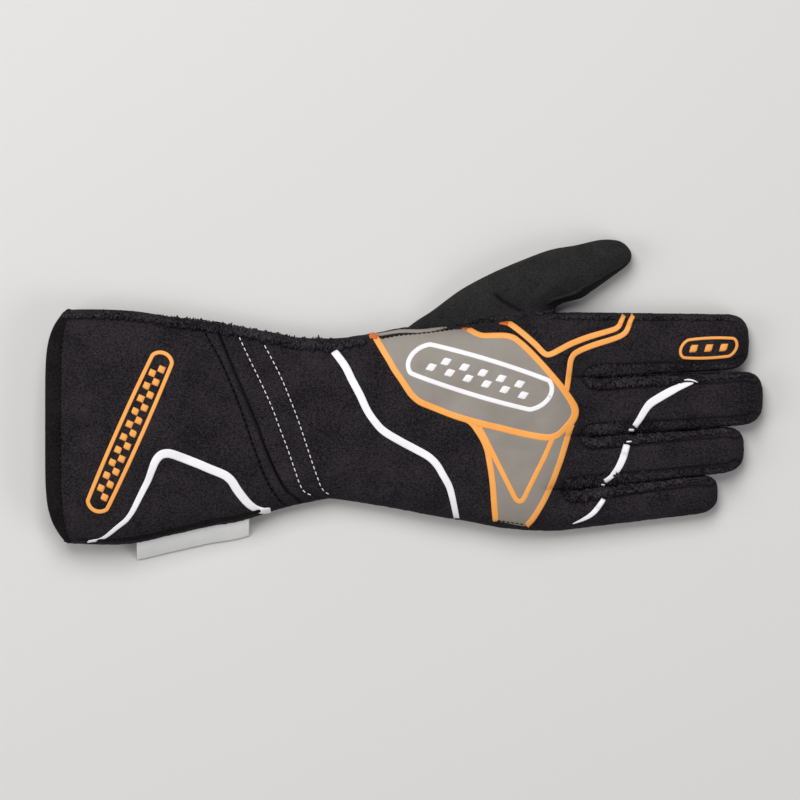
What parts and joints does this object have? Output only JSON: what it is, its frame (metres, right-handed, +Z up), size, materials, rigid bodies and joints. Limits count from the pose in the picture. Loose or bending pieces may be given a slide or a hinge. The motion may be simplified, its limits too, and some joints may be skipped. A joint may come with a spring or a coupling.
{
  "type": "karting glove",
  "caption": "Right-hand gauntlet glove for karting: knit back, palm and fingers, suede thumb, flared cuff with turned hem, printed panels and trims",
  "frame": {"origin": "under the middle of the narrowest part of the wrist, on the surface that the palm lies on", "axes": "+X from the cuff to the fingertips, +Y to the thumb side, +Z up through the back of the hand"},
  "size_m": [0.3441, 0.1544, 0.025],
  "materials": {
    "black_knit": "fine ribbed black knit, matt",
    "black_band": "black knit turned over and sewn down, matt",
    "black_suede": "black suede, matt with a soft nap",
    "grey_suede": "very dark grey suede, matt with a soft nap",
    "grey_print": "warm grey print on knit, satin",
    "orange_print": "raised orange print, satin",
    "white_print": "raised white print, satin",
    "white_tape": "smooth white label tape, bare"
  },
  "bodies": {
    "root": {"gauntlet_back": "black_knit", "gauntlet_under": "black_knit", "cuff_hem": "black_band", "hand_back": "black_knit", "palm": "black_suede", "thumb": "grey_suede", "side_strip_index_middle": "black_band", "side_strip_middle_ring": "black_band", "side_strip_ring_little": "black_band", "knuckle_panel": "grey_print", "side_panel": "grey_print", "knuckle_trim": "orange_print", "side_trim": "orange_print", "side_trim_vee": "orange_print", "fork_trim_upper": "orange_print", "fork_trim_lower": "orange_print", "cuff_stripe": "white_print", "wrist_stripe": "white_print", "middle_stripe": "white_print", "ring_stripe": "white_print", "little_stripe": "white_print", "side_label": "white_tape"}
  },
  "joints": []
}
